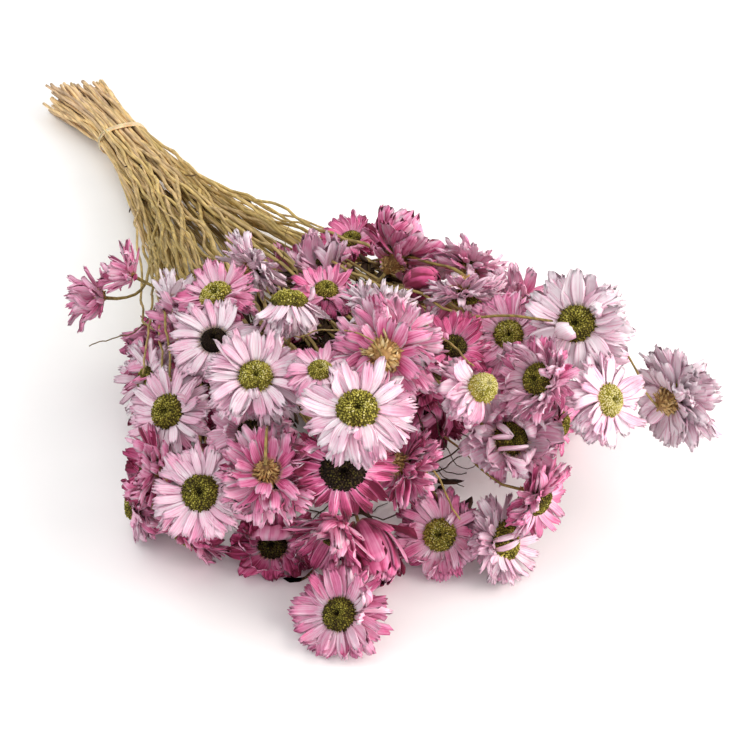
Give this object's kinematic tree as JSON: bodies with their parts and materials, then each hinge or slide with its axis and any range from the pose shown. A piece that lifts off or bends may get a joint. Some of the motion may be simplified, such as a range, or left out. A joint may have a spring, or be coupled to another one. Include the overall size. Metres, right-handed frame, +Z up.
{
  "type": "bunch of dried everlasting daisies",
  "caption": "Bunch of dried pink everlasting daisies with papery rays and domed olive discs, its straw stems held by an elastic band, lying on its side.",
  "frame": {"origin": "middle of the bounding box at the surface the bunch lies on", "axes": "+Z up; +Y along the stems from the flowers to the cut ends; +X across the bunch"},
  "size_m": [0.2242, 0.4888, 0.1092],
  "materials": {
    "flower_head": "papery pink rays, near white to deep rose, over a rough olive disc",
    "petal": "thin dry papery rays, finely pleated lengthwise, pale inside and deeper rose outside",
    "disc": "dense dry florets, olive to dark brown",
    "calyx": "small overlapping translucent straw scales",
    "dried_stem": "dry straw, matt, ribbed lengthwise, greener toward the flowers",
    "dried_leaf": "shrivelled narrow leaves, dull olive brown",
    "band": "natural rubber band, slightly translucent, satin"
  },
  "bodies": {
    "root": {"flower_head_01": "flower_head", "flower_head_02": "flower_head", "flower_head_03": "flower_head", "flower_head_04": "flower_head", "flower_head_05": "flower_head", "flower_head_06": "flower_head", "flower_head_07": "flower_head", "flower_head_08": "flower_head", "flower_head_09": "flower_head", "flower_head_10": "flower_head", "flower_head_11": "flower_head", "flower_head_12": "flower_head", "flower_head_13": "flower_head", "flower_head_14": "flower_head", "flower_head_15": "flower_head", "flower_head_16": "flower_head", "flower_head_17": "flower_head", "flower_head_18": "flower_head", "flower_head_19": "flower_head", "flower_head_20": "flower_head", "flower_head_21": "flower_head", "flower_head_22": "flower_head", "flower_head_23": "flower_head", "flower_head_24": "flower_head", "flower_head_25": "flower_head", "flower_head_26": "flower_head", "flower_head_27": "flower_head", "flower_head_28": "flower_head", "flower_head_29": "flower_head", "flower_head_30": "flower_head", "flower_head_31": "flower_head", "flower_head_32": "flower_head", "flower_head_33": "flower_head", "flower_head_34": "flower_head", "flower_head_35": "flower_head", "flower_head_36": "flower_head", "flower_head_37": "flower_head", "flower_head_38": "flower_head", "flower_head_39": "flower_head", "flower_head_40": "flower_head", "flower_head_41": "flower_head", "flower_head_42": "flower_head", "flower_head_43": "flower_head", "flower_head_44": "flower_head", "flower_head_45": "flower_head", "flower_head_46": "flower_head", "stem_spray_01": "dried_stem", "stem_spray_02": "dried_stem", "stem_spray_03": "dried_stem", "stem_spray_04": "dried_stem", "stem_spray_05": "dried_stem", "stem_spray_06": "dried_stem", "stem_spray_07": "dried_stem", "stem_spray_08": "dried_stem", "stem_spray_09": "dried_stem", "stem_spray_10": "dried_stem", "stem_spray_11": "dried_stem", "stem_spray_12": "dried_stem", "stem_spray_13": "dried_stem", "tie_band": "band"}
  },
  "joints": []
}
